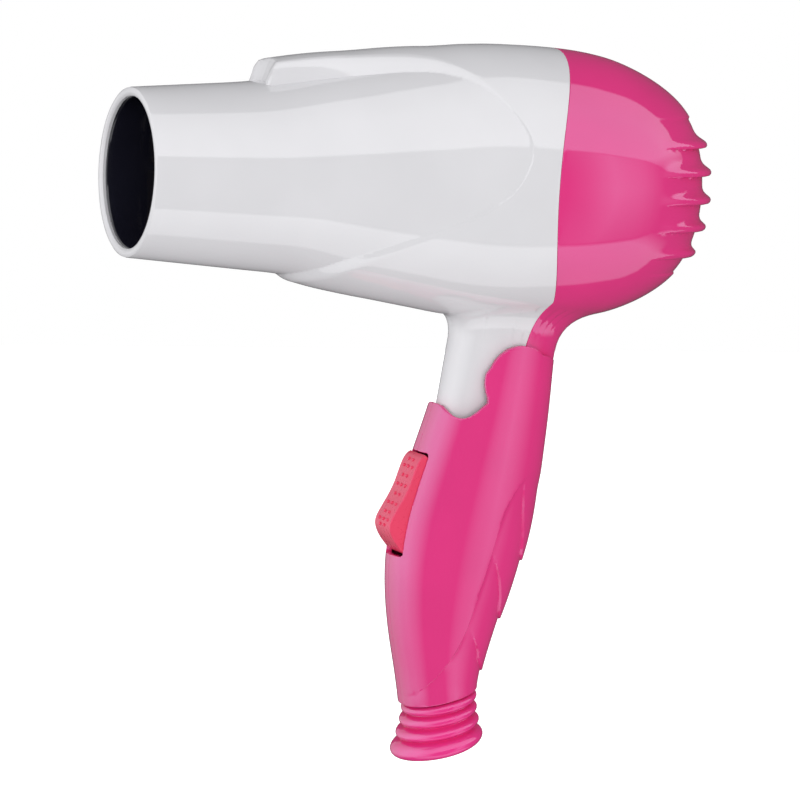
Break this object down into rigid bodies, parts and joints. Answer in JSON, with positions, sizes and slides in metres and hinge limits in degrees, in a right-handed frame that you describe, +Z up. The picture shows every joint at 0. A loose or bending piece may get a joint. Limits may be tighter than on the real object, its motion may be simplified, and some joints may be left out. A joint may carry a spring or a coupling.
{
  "type": "hair dryer",
  "caption": "Folding hand-held hair dryer: round barrel with a plain nozzle and louvred inlet, neck hinged in a forked handle, rocker switch and ribbed cord boot.",
  "frame": {"origin": "middle of the whole dryer's box, with the handle unfolded", "axes": "-X out of the nozzle along the barrel, +Z up from the handle to the barrel, Y across, the switch on the -X side of the handle"},
  "size_m": [0.1764, 0.069, 0.2068],
  "materials": {
    "white_shell": "white ABS, polished gloss",
    "pink_shell": "rose pink ABS, polished gloss",
    "pink_boot": "soft rose pink vinyl, glossy",
    "coral_rocker": "coral red, glossy",
    "black_moulding": "heat-resistant black, satin",
    "mica": "pressed mica sheet",
    "heater_wire": "oxidised resistance wire",
    "steel": "plated steel",
    "brass": "plain brass",
    "circuit_board": "green laminate",
    "red_lead": "red insulation",
    "blue_lead": "blue insulation",
    "ceramic": "plain ceramic"
  },
  "bodies": {
    "body": {"front_housing": "white_shell", "rear_housing": "pink_shell", "outlet_grille": "black_moulding", "mica_sleeve": "mica", "mica_board_upright": "mica", "mica_board_level": "mica", "heater_coil": "heater_wire", "thermostat": "steel", "thermal_fuse": "ceramic", "fan_duct": "black_moulding", "motor": "steel", "rectifier_board": "circuit_board", "diode_1": "black_moulding", "diode_2": "black_moulding", "diode_3": "black_moulding", "diode_4": "black_moulding", "inlet_filter": "black_moulding", "feed_live": "red_lead", "feed_neutral": "blue_lead"},
    "fan": {"fan_impeller": "black_moulding", "motor_shaft": "steel"},
    "handle": {"handle_near_shell": "pink_shell", "handle_far_shell": "pink_shell", "handle_screw_1": "steel", "handle_screw_2": "steel", "fold_axle": "steel", "cord_boot": "pink_boot", "cord_clamp": "black_moulding", "clamp_screw_1": "steel", "clamp_screw_2": "steel", "switch_body": "black_moulding", "switch_terminal_1": "brass", "switch_terminal_2": "brass", "switch_terminal_3": "brass", "lead_live": "red_lead", "lead_neutral": "blue_lead", "rocker_pin": "steel"},
    "rocker": {"rocker_cap": "coral_rocker"}
  },
  "joints": [
    {"name": "handle_fold", "type": "hinge", "parent": "body", "child": "handle", "pos_m": [0.03026, 0, 0.00797], "axis": [0, 1, 0], "range_deg": [0, 55]},
    {"name": "switch_rock", "type": "hinge", "parent": "handle", "child": "rocker", "pos_m": [0.00636, 0, -0.02833], "axis": [0, -1, 0], "range_deg": [0, 15]},
    {"name": "fan_spin", "type": "hinge", "parent": "body", "child": "fan", "pos_m": [0.03876, 0, 0.06367], "axis": [1, 0, 0], "continuous": true}
  ]
}
